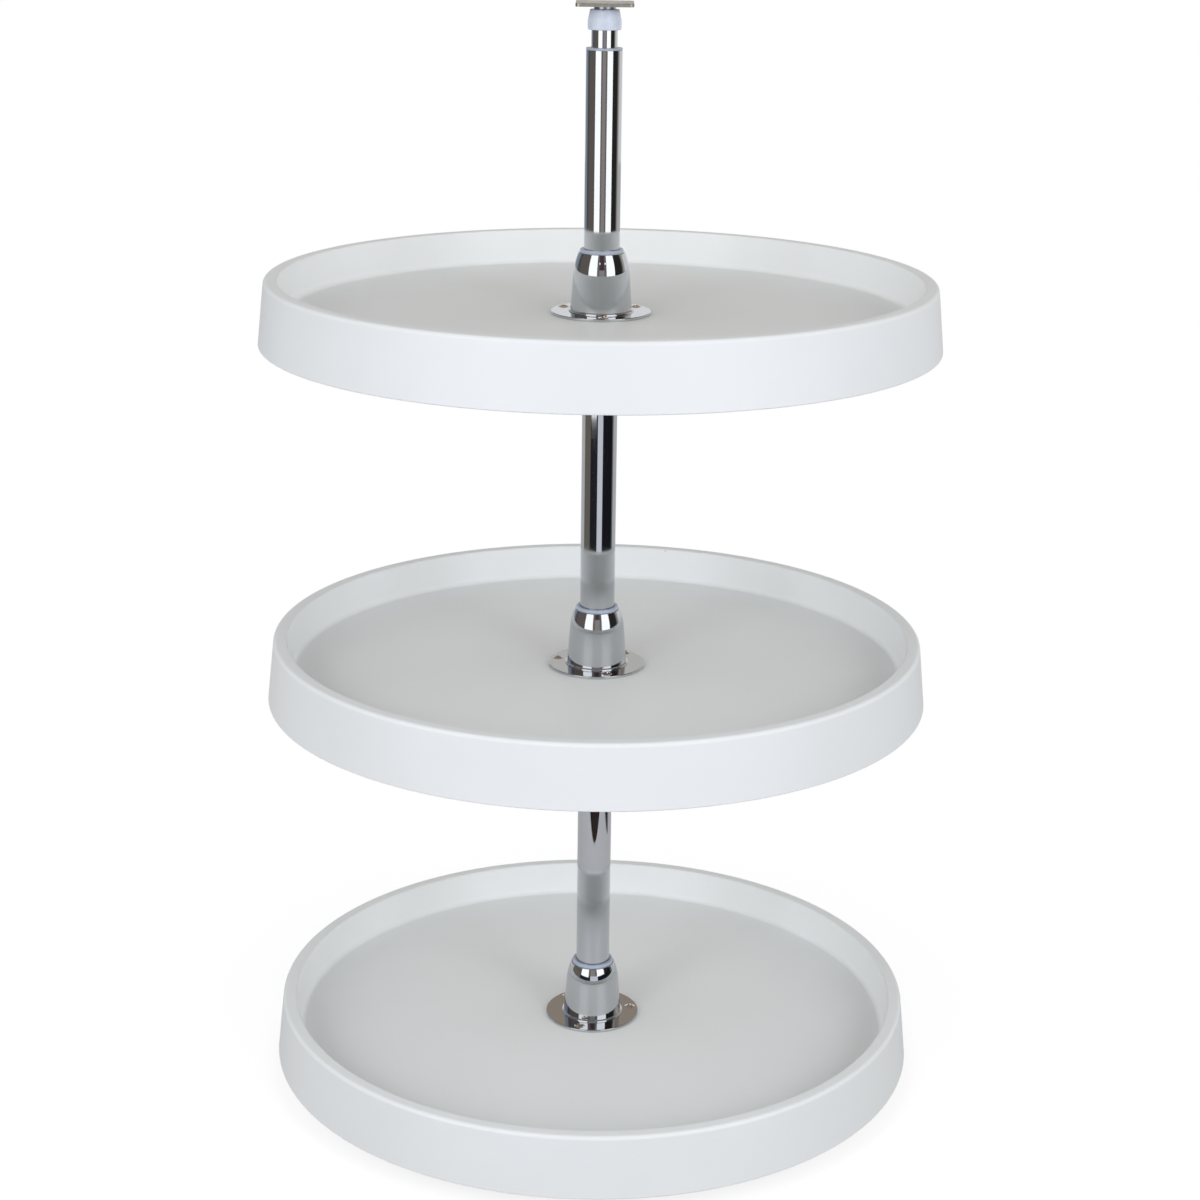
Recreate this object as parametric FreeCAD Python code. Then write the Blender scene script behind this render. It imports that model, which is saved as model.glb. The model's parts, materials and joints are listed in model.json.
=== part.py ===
import FreeCAD, Part
import math
import os

# Three round storage trays on a telescoping pole, for the inside of a tall kitchen cabinet.
# Millimetres, +Z up. The pole's axis is the Z axis, and the origin is the centre of the
# lower mounting plate's underside, which is screwed to the cabinet floor.

# Tray: a moulded dish whose rim is an upside-down U, so that the outside is a plain skirt.
tray_radius = 254.0  # over the skirt's lower edge
tray_height = 47.5  # from the skirt's lower edge to the rim's top
floor_level = 20.3  # from the skirt's lower edge to the floor's upper face
floor_thickness = 3.2
wall_thickness = 2.8
skirt_lean = 5.1  # how far the skirt leans in on its way up
rim_width = 10.4  # across the rim's flat top
rim_lean = 3.1  # how far the rim's inner wall leans in on its way down
rim_outer_round = 3.2
rim_inner_round = 1.6
floor_round = 4.0
skirt_edge_round = 0.7

# Underside of a tray.
rib_count = 12
rib_thickness = 2.0
rib_depth = 6.0
ring_rib_count = 2
inner_ring_radius = 42.0
seat_radius = 24.0  # thick disc round the centre hole, which rides on the thrust washer
seat_thickness = 6.0
centre_hole_gap = 1.5  # between the pole and the tray's centre hole
boss_radius = 5.5
boss_length = 12.0

# Heights of the trays' skirts, from the cabinet floor up.
lower_tray_level = 14.0
lower_spacing = 299.5
upper_spacing = 276.0

# Direction of the screw nearest the front of each tray, in degrees from +X.
lower_turn = -108.8
middle_turn = -75.3
upper_turn = -86.5

# Hub: a hollow chromed bell with a flange, screwed to the tray's floor.
flange_radius = 37.5
flange_thickness = 2.2
flange_under_round = 0.2  # edge break on its lower edge
foot_radius = 24.4  # low bead where the bell stands on its flange
foot_lean = 1.3
foot_height = 1.5
foot_bead = 0.8  # height where the bead starts to lean
foot_bead_round = 0.8
foot_top_round = 0.5
body_step = 0.15  # from the bead's top edge in to the bell
body_lean = 2.55  # from the bell's lower edge in to its shoulder
shoulder_height = 36.15
shoulder_round = 46.0
crown_lean = 3.25  # from the shoulder in to the hub's top edge
crown_round = 0.8
hub_height = 43.8  # above the flange
hub_wall = 2.2

# Nylon bushing in the hub's crown, which turns on the pole.
bushing_wall = 2.5
bushing_length = 26.0
bushing_lip = 2.3  # thickness of the ring that shows above the hub
bushing_lip_reach = 0.4  # how far that ring stands out beyond the bushing
bushing_bore_round = 0.4

# Hub screws.
screw_count = 3
screw_circle_radius = 31.3
screw_radius = 1.9
screw_head_radius = 4.1
screw_dome = 1.1  # height of the domed head above the flange
screw_length = 12.0
recess_width = 0.9
recess_length = 4.4
recess_depth = 1.2

# Support collar, its set screw and the washer under each tray.
collar_wall = 7.7
collar_height = 11.0
collar_edge_round = 0.6
set_screw_radius = 3.0
set_screw_inset = 0.5  # from the collar's outside in to the screw's end
socket_radius = 1.7
socket_depth = 3.0
washer_thickness = 1.2
washer_lip = 1.0  # how far the washer stands out beyond the collar

# Pole and the tube that slides in it.
pole_radius = 13.3
pole_wall = 1.6
pole_top_level = 803.2  # top of the guide ring
inner_tube_radius = 9.525
inner_tube_wall = 1.2
inner_tube_reveal = 12.6  # bare tube between the guide ring and the cap
inner_tube_engaged = 200.0  # length of that tube inside the pole
tube_edge_round = 0.3
guide_lip = 1.5
guide_length = 25.0
guide_edge_round = 0.5

# Twist lock on the hidden end of the inner tube.
lock_shank = 20.0
lock_neck_radius = 8.6
lock_neck_length = 9.0
lock_flange_inset = 1.1  # from the pole's bore in to the plug's flange
lock_flange_thickness = 3.0
cam_offset = 1.0  # eccentricity of the cam's axle
cam_axle_radius = 5.5
cam_play = 0.8  # from the released cam out to the pole's bore
cam_height = 10.0
lock_washer_radius = 8.0
lock_washer_thickness = 1.5
lock_screw_radius = 2.0
lock_screw_length = 16.0
lock_screw_head_radius = 3.6
lock_screw_head_height = 2.5
lock_socket_depth = 1.3

# Pivots, top cap and mounting plates.
pin_radius = 4.0
pin_length = 26.0
pin_tip_round = 0.8
pin_neck_radius = 7.9
top_neck_height = 2.3
bottom_neck_height = 2.0
bottom_washer_thickness = 1.5
plug_length = 22.0
plug_lip = 2.5
plug_edge_round = 0.6
cap_height = 14.4
cap_radius = 12.25
cap_taper = 1.6  # from the cap's widest part in to its top edge
cap_taper_height = 8.0
cap_bottom_round = 0.9
cap_top_round = 1.2
plate_side = 42.0
plate_thickness = 2.5
plate_corner_round = 3.0
plate_hole_spacing = 30.0
plate_hole_radius = 2.25

# Fits.
running_clearance = 0.05  # radial, between a shaft and its bore
seat_gap = 0.15  # between two faces that turn on each other
cut_margin = 1.0  # how far a cutter or a root reaches past the face that it crosses

# Sizes that follow from those above.
rim_outer_radius = tray_radius - skirt_lean
rim_inner_radius = rim_outer_radius - rim_width
floor_radius = rim_inner_radius - rim_lean
floor_underside = floor_level - floor_thickness
seat_level = floor_level - seat_thickness
centre_hole_radius = pole_radius + centre_hole_gap
washer_level = seat_level - seat_gap - washer_thickness
collar_level = washer_level - collar_height
collar_radius = pole_radius + running_clearance + collar_wall
hub_level = floor_level + flange_thickness
bell_radius = foot_radius - foot_lean - body_step
shoulder_radius = bell_radius - body_lean
crown_radius = shoulder_radius - crown_lean
bushing_bore = pole_radius + running_clearance
bushing_radius = bushing_bore + bushing_wall
pole_bore = pole_radius - pole_wall
inner_tube_bore = inner_tube_radius - inner_tube_wall
inner_tube_bottom = pole_top_level - inner_tube_engaged
cap_level = pole_top_level + inner_tube_reveal
neck_level = cap_level + cap_height + seat_gap
top_plate_level = neck_level + top_neck_height
bottom_neck_top = plate_thickness + bottom_neck_height
plug_level = bottom_neck_top + bottom_washer_thickness + seat_gap
pole_bottom = plug_level + plug_lip
middle_tray_level = lower_tray_level + lower_spacing
upper_tray_level = middle_tray_level + upper_spacing

origin = FreeCAD.Vector(0, 0, 0)
up = FreeCAD.Vector(0, 0, 1)


def outline(corners):
    """Closed wire in the XZ plane. Each corner is (radius, height, rounding)."""
    points = [FreeCAD.Vector(radius, 0, height) for radius, height, _ in corners]
    edges = []
    arcs = []
    for index, (_, _, rounding) in enumerate(corners):
        point = points[index]
        back = (points[index - 1] - point).normalize()
        ahead = (points[(index + 1) % len(points)] - point).normalize()
        if rounding == 0:
            arcs.append((point, point, point))
            continue
        half_angle = back.getAngle(ahead) / 2
        inward = (back + ahead).normalize()
        reach = rounding / math.tan(half_angle)
        middle = rounding / math.sin(half_angle) - rounding
        arcs.append((point + back * reach, point + inward * middle, point + ahead * reach))
    for index, (start, middle, end) in enumerate(arcs):
        previous_end = arcs[index - 1][2]
        edges.append(Part.makeLine(previous_end, start))
        if start != end:
            edges.append(Part.Arc(start, middle, end).toShape())
    return Part.Wire(edges)


def turned(corners):
    """Solid of revolution about the Z axis."""
    return Part.Face(outline(corners)).revolve(origin, up, 360)


def rod(radius, bottom, top, x=0.0, y=0.0):
    """Upright cylinder between two heights."""
    return Part.makeCylinder(radius, top - bottom, FreeCAD.Vector(x, y, bottom))


def ring(inner_radius, outer_radius, bottom, top, edge_round=0.0):
    """Upright ring between two heights, with rounded outer edges if asked."""
    return turned([
        (inner_radius, bottom, 0),
        (outer_radius, bottom, edge_round),
        (outer_radius, top, edge_round),
        (inner_radius, top, 0),
    ])


def around_axis(shape, count):
    """Copies of a shape, evenly spaced about the Z axis."""
    copies = []
    for index in range(count):
        copy = shape.copy()
        copy.rotate(origin, up, 360 * index / count)
        copies.append(copy)
    return copies


def placed(shape, level, turn=0.0):
    """Copy of a shape, turned about the Z axis and raised."""
    copy = shape.copy()
    copy.rotate(origin, up, turn)
    copy.translate(FreeCAD.Vector(0, 0, level))
    return copy


# Tray, modelled with its skirt's lower edge at height 0 and its first screw towards +X.


def tray_shell():
    """Floor, rim and skirt, with the thick seat round the centre hole."""
    crest = tray_height - wall_thickness
    return turned([
        (centre_hole_radius, floor_level, 0),
        (floor_radius, floor_level, floor_round),
        (rim_inner_radius, tray_height, rim_inner_round),
        (rim_outer_radius, tray_height, rim_outer_round),
        (tray_radius, 0, skirt_edge_round),
        (tray_radius - wall_thickness, 0, skirt_edge_round),
        (rim_outer_radius - wall_thickness, crest, 0),
        (rim_inner_radius + wall_thickness, crest, 0),
        (floor_radius + wall_thickness, floor_underside, 0),
        (seat_radius, floor_underside, 0),
        (seat_radius, seat_level, 0),
        (centre_hole_radius, seat_level, 0),
    ])


def radial_ribs():
    """Ribs from the inner ring out into the skirt."""
    bottom = floor_underside - rib_depth
    skirt_inside = tray_radius - wall_thickness - skirt_lean * floor_underside / tray_height
    length = skirt_inside + wall_thickness / 2 - inner_ring_radius
    height = rib_depth + floor_thickness / 2
    corner = FreeCAD.Vector(inner_ring_radius, -rib_thickness / 2, bottom)
    return around_axis(Part.makeBox(length, rib_thickness, height, corner), rib_count)


def ring_ribs():
    """Evenly spaced rings under the floor, from the inner ring to the rim."""
    bottom = floor_underside - rib_depth
    top = floor_underside + floor_thickness / 2
    spacing = (floor_radius - inner_ring_radius) / ring_rib_count
    rings = []
    for index in range(ring_rib_count):
        radius = inner_ring_radius + spacing * index
        rings.append(ring(radius - rib_thickness / 2, radius + rib_thickness / 2, bottom, top))
    return rings


def tray():
    top = floor_underside + floor_thickness / 2
    boss = rod(boss_radius, floor_level - boss_length, top, screw_circle_radius)
    hole_bottom = floor_level + flange_thickness - screw_length
    hole = rod(screw_radius, hole_bottom, floor_level + cut_margin, screw_circle_radius)
    additions = radial_ribs() + ring_ribs() + around_axis(boss, screw_count)
    return tray_shell().fuse(additions).cut(around_axis(hole, screw_count)).removeSplitter()


# Hub parts, modelled with the top of the hub's flange at height 0.


def hub():
    cavity_radius = bell_radius - hub_wall
    cavity_shoulder = shoulder_radius - hub_wall
    crown_inside = hub_height - hub_wall
    bell = turned([
        (cavity_radius, -flange_thickness, 0),
        (flange_radius, -flange_thickness, flange_under_round),
        (flange_radius, 0, flange_thickness / 2),
        (foot_radius, 0, 0),
        (foot_radius, foot_bead, foot_bead_round),
        (foot_radius - foot_lean, foot_height, foot_top_round),
        (bell_radius, foot_height, 0),
        (shoulder_radius, shoulder_height, shoulder_round),
        (crown_radius, hub_height, crown_round),
        (bushing_radius, hub_height, 0),
        (bushing_radius, crown_inside, 0),
        (cavity_shoulder, shoulder_height - hub_wall, 0),
    ])
    hole = rod(screw_radius, -flange_thickness - cut_margin, 0, screw_circle_radius)
    sink = Part.makeCone(
        screw_radius, screw_head_radius, flange_thickness,
        FreeCAD.Vector(screw_circle_radius, 0, -flange_thickness))
    return bell.cut(around_axis(hole.fuse(sink), screw_count))


def hub_bushing():
    lip_radius = bushing_radius + bushing_lip_reach
    return turned([
        (bushing_bore, hub_height - bushing_length, 0),
        (bushing_radius, hub_height - bushing_length, 0),
        (bushing_radius, hub_height, 0),
        (lip_radius, hub_height, 0),
        (lip_radius, hub_height + bushing_lip, bushing_lip / 2),
        (bushing_bore, hub_height + bushing_lip, bushing_bore_round),
    ])


def screw_crest():
    """Cap of a sphere that crowns a screw's head."""
    sphere_radius = (screw_head_radius ** 2 + screw_dome ** 2) / (2 * screw_dome)
    sphere = Part.makeSphere(sphere_radius, FreeCAD.Vector(0, 0, screw_dome - sphere_radius))
    return sphere.common(rod(screw_head_radius + cut_margin, 0, screw_dome))


def hub_screw():
    """Raised countersunk screw with a cross recess, standing on the Z axis."""
    body = turned([
        (0, -screw_length, 0),
        (screw_radius, -screw_length + screw_radius, 0),
        (screw_radius, -flange_thickness, 0),
        (screw_head_radius, 0, 0),
        (0, 0, 0),
    ]).fuse(screw_crest())
    low_corner = FreeCAD.Vector(-recess_length / 2, -recess_width / 2, screw_dome - recess_depth)
    slot = Part.makeBox(recess_length, recess_width, recess_depth + cut_margin, low_corner)
    cross = around_axis(slot, 4)[:2]
    return body.cut(cross)


def hub_screws():
    screw = hub_screw()
    screw.translate(FreeCAD.Vector(screw_circle_radius, 0, 0))
    return Part.makeCompound(around_axis(screw, screw_count))


# Support collar parts, at their height within the tray and with the set screw towards +X.


def set_screw_cylinder(radius, start, end):
    """Cylinder along the set screw's axis, between two distances from the pole's axis."""
    height = collar_level + collar_height / 2
    along = FreeCAD.Vector(1, 0, 0)
    return Part.makeCylinder(radius, end - start, FreeCAD.Vector(start, 0, height), along)


def support_collar():
    bore = pole_radius + running_clearance
    body = ring(bore, collar_radius, collar_level, washer_level, collar_edge_round)
    return body.cut(set_screw_cylinder(set_screw_radius, 0, collar_radius + cut_margin))


def collar_set_screw():
    tip = pole_radius + running_clearance
    end = collar_radius - set_screw_inset
    body = set_screw_cylinder(set_screw_radius, tip, end)
    return body.cut(set_screw_cylinder(socket_radius, end - socket_depth, end + cut_margin))


def thrust_washer():
    outer_radius = collar_radius + washer_lip
    return ring(pole_radius + running_clearance, outer_radius, washer_level, seat_level - seat_gap)


# Pole.


def pole_tube():
    top = pole_top_level - guide_lip
    return turned([
        (pole_bore, pole_bottom, 0),
        (pole_radius, pole_bottom, tube_edge_round),
        (pole_radius, top, tube_edge_round),
        (pole_bore, top, 0),
    ])


def guide_ring():
    """Nylon ring in the pole's top end, which guides the inner tube."""
    lip_bottom = pole_top_level - guide_lip
    bore = inner_tube_radius + running_clearance
    return turned([
        (bore, lip_bottom - guide_length, 0),
        (pole_bore, lip_bottom - guide_length, 0),
        (pole_bore, lip_bottom, 0),
        (pole_radius, lip_bottom, 0),
        (pole_radius, pole_top_level, guide_edge_round),
        (bore, pole_top_level, guide_edge_round),
    ])


def bottom_bushing():
    """Nylon plug in the pole's bottom end, which turns on the lower pin."""
    return turned([
        (pin_radius + running_clearance, plug_level, 0),
        (pole_radius, plug_level, plug_edge_round),
        (pole_radius, pole_bottom, 0),
        (pole_bore, pole_bottom, 0),
        (pole_bore, pole_bottom + plug_length, 0),
        (pin_radius + running_clearance, pole_bottom + plug_length, 0),
    ])


# Inner tube and its twist lock.


def inner_tube():
    return ring(inner_tube_bore, inner_tube_radius, inner_tube_bottom, cap_level)


def lock_levels():
    """Heights of the plug's neck, flange, axle and washer, from the tube's end down."""
    flange_top = inner_tube_bottom - lock_neck_length
    axle_top = flange_top - lock_flange_thickness
    washer_top = axle_top - cam_height
    washer_bottom = washer_top - lock_washer_thickness
    return flange_top, axle_top, washer_top, washer_bottom


def lock_plug():
    """Plug in the inner tube's end, with a neck, a flange and an eccentric axle."""
    flange_top, axle_top, washer_top, washer_bottom = lock_levels()
    shank = rod(inner_tube_bore, inner_tube_bottom, inner_tube_bottom + lock_shank)
    neck = rod(lock_neck_radius, flange_top, inner_tube_bottom)
    flange = rod(pole_bore - lock_flange_inset, axle_top, flange_top)
    axle = rod(cam_axle_radius, washer_top, axle_top, cam_offset)
    hole_top = washer_bottom + lock_screw_length
    hole = rod(lock_screw_radius, washer_top, hole_top, cam_offset)
    return shank.fuse([neck, flange, axle]).cut(hole)


def lock_guide():
    """Nylon ring that rides on the plug's neck and grips the pole's bore."""
    flange_top = lock_levels()[0]
    return ring(
        lock_neck_radius + running_clearance, pole_bore - running_clearance,
        flange_top + seat_gap, inner_tube_bottom - seat_gap)


def lock_cam():
    """Ring on the eccentric axle, shown released: its outside is centred in the pole."""
    _, axle_top, washer_top, _ = lock_levels()
    outside = rod(pole_bore - cam_play, washer_top + seat_gap, axle_top - seat_gap)
    return outside.cut(rod(cam_axle_radius + running_clearance, washer_top, axle_top, cam_offset))


def lock_washer():
    _, _, washer_top, washer_bottom = lock_levels()
    disc = rod(lock_washer_radius, washer_bottom, washer_top, cam_offset)
    return disc.cut(rod(lock_screw_radius, washer_bottom, washer_top, cam_offset))


def lock_screw():
    washer_bottom = lock_levels()[3]
    shank = rod(lock_screw_radius, washer_bottom, washer_bottom + lock_screw_length, cam_offset)
    head_bottom = washer_bottom - lock_screw_head_height
    head = rod(lock_screw_head_radius, head_bottom, washer_bottom, cam_offset)
    socket = rod(socket_radius, head_bottom, head_bottom + lock_socket_depth, cam_offset)
    return head.fuse(shank).cut(socket)


def top_cap():
    """Nylon cap on the inner tube, which turns on the upper pin."""
    top = cap_level + cap_height
    bore = pin_radius + running_clearance
    return turned([
        (bore, cap_level - plug_length, 0),
        (inner_tube_bore, cap_level - plug_length, 0),
        (inner_tube_bore, cap_level, 0),
        (cap_radius, cap_level, cap_bottom_round),
        (cap_radius, top - cap_taper_height, cap_taper_height),
        (cap_radius - cap_taper, top, cap_top_round),
        (bore, top, 0),
    ])


# Mounting plates and pivot pins.


def mounting_plate(bottom):
    half = plate_side / 2
    corner = FreeCAD.Vector(-half, -half, bottom)
    plate = Part.makeBox(plate_side, plate_side, plate_thickness, corner)
    upright = []
    for edge in plate.Edges:
        if edge.BoundBox.ZLength > edge.BoundBox.XLength + edge.BoundBox.YLength:
            upright.append(edge)
    plate = plate.makeFillet(plate_corner_round, upright)
    offset = plate_hole_spacing / 2
    hole = rod(plate_hole_radius, bottom, bottom + plate_thickness, offset, offset)
    return plate.cut(around_axis(hole, 4))


def bottom_pin():
    """Pin with a wide neck, welded to the lower plate and pointing up."""
    top = bottom_neck_top + pin_length
    return turned([
        (0, plate_thickness, 0),
        (pin_neck_radius, plate_thickness, 0),
        (pin_neck_radius, bottom_neck_top, 0),
        (pin_radius, bottom_neck_top, 0),
        (pin_radius, top, pin_tip_round),
        (0, top, 0),
    ])


def bottom_washer():
    inner_radius = pin_radius + running_clearance
    return ring(inner_radius, pole_radius, bottom_neck_top, bottom_neck_top + bottom_washer_thickness)


def top_pin():
    """The same pin, welded to the upper plate and pointing down."""
    tip = neck_level - pin_length
    return turned([
        (0, top_plate_level, 0),
        (pin_neck_radius, top_plate_level, 0),
        (pin_neck_radius, neck_level, 0),
        (pin_radius, neck_level, 0),
        (pin_radius, tip, pin_tip_round),
        (0, tip, 0),
    ])


def save(node, shape):
    shape.exportStep(os.path.join("parts", node + ".step"))
    print(node, "solids", len(shape.Solids), "valid", shape.isValid())


def save_pole():
    save("bottom_plate", mounting_plate(0))
    save("bottom_pin", bottom_pin())
    save("bottom_washer", bottom_washer())
    save("bottom_bushing", bottom_bushing())
    save("pole_tube", pole_tube())
    save("guide_ring", guide_ring())
    save("inner_tube", inner_tube())
    save("lock_plug", lock_plug())
    save("lock_guide", lock_guide())
    save("lock_cam", lock_cam())
    save("lock_washer", lock_washer())
    save("lock_screw", lock_screw())
    save("top_cap", top_cap())
    save("top_pin", top_pin())
    save("top_plate", mounting_plate(top_plate_level))


def save_trays():
    tray_parts = {
        "tray": (tray(), 0),
        "hub": (hub(), hub_level),
        "hub_bushing": (hub_bushing(), hub_level),
        "hub_screws": (hub_screws(), hub_level),
        "support_collar": (support_collar(), 0),
        "set_screw": (collar_set_screw(), 0),
        "thrust_washer": (thrust_washer(), 0),
    }
    places = {
        "lower": (lower_tray_level, lower_turn),
        "middle": (middle_tray_level, middle_turn),
        "upper": (upper_tray_level, upper_turn),
    }
    for place, (level, turn) in places.items():
        for name, (shape, height) in tray_parts.items():
            save(place + "_" + name, placed(shape, level + height, turn))


os.makedirs("parts", exist_ok=True)
save_pole()
save_trays()
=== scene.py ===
import json
import math

import bmesh
import bpy
from mathutils import Matrix, Vector

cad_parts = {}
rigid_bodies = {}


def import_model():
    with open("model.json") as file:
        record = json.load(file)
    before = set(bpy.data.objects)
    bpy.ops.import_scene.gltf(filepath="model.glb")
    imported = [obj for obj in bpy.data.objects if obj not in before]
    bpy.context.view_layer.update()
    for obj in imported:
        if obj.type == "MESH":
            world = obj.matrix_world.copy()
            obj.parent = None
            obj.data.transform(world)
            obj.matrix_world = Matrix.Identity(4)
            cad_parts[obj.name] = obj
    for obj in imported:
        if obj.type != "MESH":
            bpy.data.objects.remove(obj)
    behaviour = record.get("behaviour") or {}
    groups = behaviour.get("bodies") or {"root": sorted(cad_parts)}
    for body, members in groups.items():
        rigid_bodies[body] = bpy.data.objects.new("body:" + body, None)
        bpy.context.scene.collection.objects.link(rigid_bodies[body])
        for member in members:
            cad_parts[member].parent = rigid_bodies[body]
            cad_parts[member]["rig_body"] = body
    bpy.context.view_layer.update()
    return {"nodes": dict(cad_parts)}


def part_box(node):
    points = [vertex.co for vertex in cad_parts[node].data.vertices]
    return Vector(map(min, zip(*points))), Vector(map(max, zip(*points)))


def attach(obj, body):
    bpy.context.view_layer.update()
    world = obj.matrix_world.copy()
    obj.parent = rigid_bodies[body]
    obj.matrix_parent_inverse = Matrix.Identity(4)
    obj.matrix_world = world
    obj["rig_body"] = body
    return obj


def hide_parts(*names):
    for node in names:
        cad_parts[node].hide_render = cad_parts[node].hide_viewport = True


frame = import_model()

scene = bpy.context.scene
mm = 0.001  # every size below is in millimetres, and the scene is in metres
print("frame loaded,", len(frame["nodes"]), "nodes")


def toLinear(hexColour):
    # sRGB hex such as "#C9CBCE" to the linear red, green, blue and alpha that a node takes
    channels = [int(hexColour[start:start + 2], 16) / 255 for start in (1, 3, 5)]
    linear = [c / 12.92 if c <= 0.04045 else ((c + 0.055) / 1.055) ** 2.4 for c in channels]
    return linear + [1.0]


def addNode(tree, kind, settings, links):
    # a setting's name is an input socket, by name or number, or else a property of the node
    node = tree.nodes.new(kind)
    for name, value in settings.items():
        if isinstance(name, int) or name in node.inputs:
            node.inputs[name].default_value = value
        else:
            setattr(node, name, value)
    for name, output in links.items():
        tree.links.new(output, node.inputs[name])
    return node


def startMaterial(name):
    material = bpy.data.materials.new(name)
    material.use_nodes = True
    tree = material.node_tree
    place = addNode(tree, "ShaderNodeTexCoord", {}, {}).outputs["Object"]
    return material, tree, tree.nodes["Principled BSDF"], place


def connect(tree, shader, colour, roughness, bump):
    tree.links.new(colour.outputs[2], shader.inputs["Base Color"])
    tree.links.new(roughness.outputs[0], shader.inputs["Roughness"])
    tree.links.new(bump.outputs["Normal"], shader.inputs["Normal"])


def mouldedPolystyrene():
    # high-impact polystyrene from a spark-eroded mould: a matt, slightly cloudy white with a
    # fine grain, a few dust specks, edges that handling has rubbed smoother, and a painted grey shade on the
    # edges that dims the highlight along the rims
    look = {
        "white": "#F0F1F1", "cloud": "#EAEBEA", "cloudSize": 70, "cloudDetail": 4.0,
        "speck": "#A8A49B", "speckSpacing": 34, "speckRadius": 0.45, "speckShare": 0.62,
        "grainSize": 0.9,  # the real grain is about 0.1 mm, drawn coarser so that it shows
        "grainDepth": 0.012, "grainDetail": 2.0, "waveSize": 45, "waveDepth": 0.05, "waveDetail": 1.0,
        "matt": 0.52, "rubbed": 0.46, "paintedEdgeShade": "#E6E6E4", "wearStart": 0.52, "wearEnd": 0.6, "ior": 1.5,
    }
    material, tree, shader, place = startMaterial("mouldedPolystyrene")
    clouds = addNode(tree, "ShaderNodeTexNoise",
                     {"Scale": 1000 / look["cloudSize"], "Detail": look["cloudDetail"]}, {"Vector": place})
    white = addNode(tree, "ShaderNodeMix",
                    {"data_type": "RGBA", 6: toLinear(look["white"]), 7: toLinear(look["cloud"])},
                    {0: clouds.outputs["Fac"]})
    cells = addNode(tree, "ShaderNodeTexVoronoi", {"Scale": 1000 / look["speckSpacing"]}, {"Vector": place})
    near = addNode(tree, "ShaderNodeMath",
                   {"operation": "LESS_THAN", 1: look["speckRadius"] / look["speckSpacing"]},
                   {0: cells.outputs["Distance"]})
    pick = addNode(tree, "ShaderNodeSeparateColor", {}, {"Color": cells.outputs["Color"]})
    chosen = addNode(tree, "ShaderNodeMath", {"operation": "GREATER_THAN", 1: look["speckShare"]},
                     {0: pick.outputs["Red"]})
    speck = addNode(tree, "ShaderNodeMath", {"operation": "MULTIPLY"},
                    {0: near.outputs[0], 1: chosen.outputs[0]})
    dusty = addNode(tree, "ShaderNodeMix", {"data_type": "RGBA", 7: toLinear(look["speck"])},
                    {0: speck.outputs[0], 6: white.outputs[2]})
    edges = addNode(tree, "ShaderNodeNewGeometry", {}, {})
    wear = addNode(tree, "ShaderNodeMapRange", {"From Min": look["wearStart"], "From Max": look["wearEnd"]},
                   {"Value": edges.outputs["Pointiness"]})
    # the edge mask also greys the edges with a painted shade, which dims the highlight along the rims
    colour = addNode(tree, "ShaderNodeMix", {"data_type": "RGBA", 7: toLinear(look["paintedEdgeShade"])},
                     {0: wear.outputs[0], 6: dusty.outputs[2]})
    roughness = addNode(tree, "ShaderNodeMapRange", {"To Min": look["matt"], "To Max": look["rubbed"]},
                        {"Value": wear.outputs[0]})
    grain = addNode(tree, "ShaderNodeTexNoise",
                    {"Scale": 1000 / look["grainSize"], "Detail": look["grainDetail"]}, {"Vector": place})
    fine = addNode(tree, "ShaderNodeBump", {"Strength": 1.0, "Distance": look["grainDepth"] * mm},
                   {"Height": grain.outputs["Fac"]})
    waves = addNode(tree, "ShaderNodeTexNoise",
                    {"Scale": 1000 / look["waveSize"], "Detail": look["waveDetail"]}, {"Vector": place})
    slow = addNode(tree, "ShaderNodeBump", {"Strength": 1.0, "Distance": look["waveDepth"] * mm},
                   {"Height": waves.outputs["Fac"], "Normal": fine.outputs["Normal"]})
    connect(tree, shader, colour, roughness, slow)
    shader.inputs["IOR"].default_value = look["ior"]
    return material


def chromePlate():
    # buffed nickel and chrome plating: a hard, cool mirror, with finger haze that dulls it in
    # patches and round hairlines left by the buffing wheel
    look = {
        "bright": "#CDCFD2", "hazy": "#C3C6CA", "hazeSize": 24, "hazeDetail": 5.0,
        "clean": 0.03, "dull": 0.085, "hazeStart": 0.4, "hazeEnd": 0.75,
        "hairlineSpacing": 0.7,  # real hairlines are far finer than the render can show
        "hairlineDepth": 0.0006, "hairlineDetail": 3.0, "hairlineStretch": (0.02, 0.02, 1.0),
    }
    material, tree, shader, place = startMaterial("chromePlate")
    haze = addNode(tree, "ShaderNodeTexNoise",
                   {"Scale": 1000 / look["hazeSize"], "Detail": look["hazeDetail"]}, {"Vector": place})
    colour = addNode(tree, "ShaderNodeMix",
                     {"data_type": "RGBA", 6: toLinear(look["bright"]), 7: toLinear(look["hazy"])},
                     {0: haze.outputs["Fac"]})
    roughness = addNode(tree, "ShaderNodeMapRange",
                        {"From Min": look["hazeStart"], "From Max": look["hazeEnd"],
                         "To Min": look["clean"], "To Max": look["dull"]},
                        {"Value": haze.outputs["Fac"]})
    stretch = addNode(tree, "ShaderNodeMapping", {"Scale": look["hairlineStretch"]}, {"Vector": place})
    lines = addNode(tree, "ShaderNodeTexNoise",
                    {"Scale": 1000 / look["hairlineSpacing"], "Detail": look["hairlineDetail"]},
                    {"Vector": stretch.outputs["Vector"]})
    bump = addNode(tree, "ShaderNodeBump", {"Strength": 1.0, "Distance": look["hairlineDepth"] * mm},
                   {"Height": lines.outputs["Fac"]})
    connect(tree, shader, colour, roughness, bump)
    shader.inputs["Metallic"].default_value = 1.0
    return material


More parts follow.
